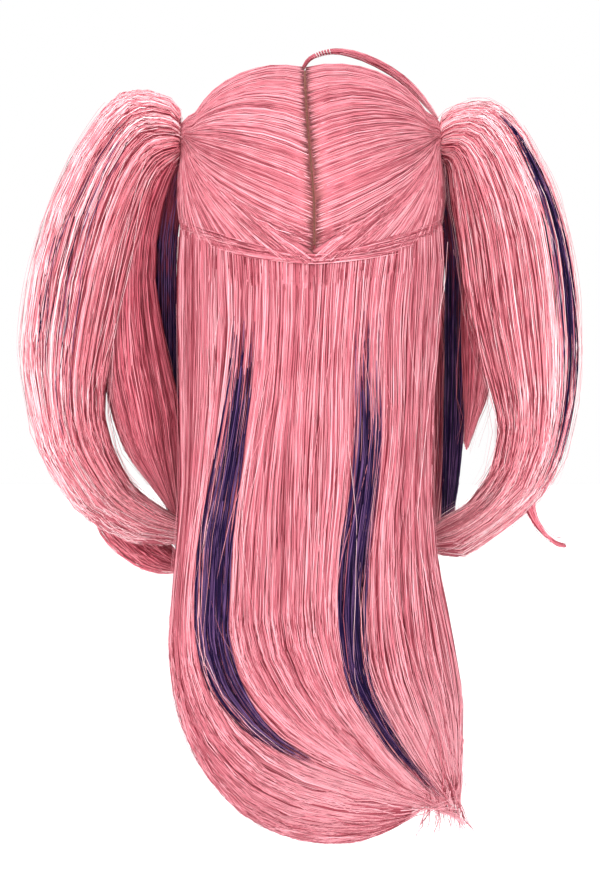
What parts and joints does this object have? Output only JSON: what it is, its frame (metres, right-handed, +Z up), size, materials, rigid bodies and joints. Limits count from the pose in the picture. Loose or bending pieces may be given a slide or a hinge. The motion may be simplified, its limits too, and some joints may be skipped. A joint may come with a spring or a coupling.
{
  "type": "cosplay wig",
  "caption": "Long pink costume wig with high bunched pigtails, a centre part, purple streaks, side locks, a fringe and a thin antenna lock on an open net cap.",
  "frame": {"origin": "inside top of the cap, where the crown of the wearer's head sits", "axes": "+Z up, -Y the way the face looks, +X the wearer's left"},
  "size_m": [0.3778, 0.2143, 0.5326],
  "materials": {
    "pink_hair": "satin synthetic fibre, pink",
    "purple_hair": "satin synthetic fibre, deep purple",
    "cap_net": "matt stretch net with sewn wefts",
    "part_strip": "matt brown base cloth at the part",
    "elastic": "matt covered elastic"
  },
  "bodies": {
    "root": {"cap": "cap_net", "part_strip": "part_strip", "crown_left": "pink_hair", "crown_right": "pink_hair", "tie_left": "elastic", "tie_right": "elastic", "pigtail_left": "pink_hair", "pigtail_right": "pink_hair", "pigtail_streak_left": "purple_hair", "pigtail_streak_right": "purple_hair", "back_fall": "pink_hair", "back_streak_left": "purple_hair", "back_streak_right": "purple_hair", "side_lock_left": "pink_hair", "side_lock_right": "pink_hair", "purple_lock_left": "purple_hair", "purple_lock_right": "purple_hair", "fringe": "pink_hair", "antenna_lock": "pink_hair"}
  },
  "joints": []
}
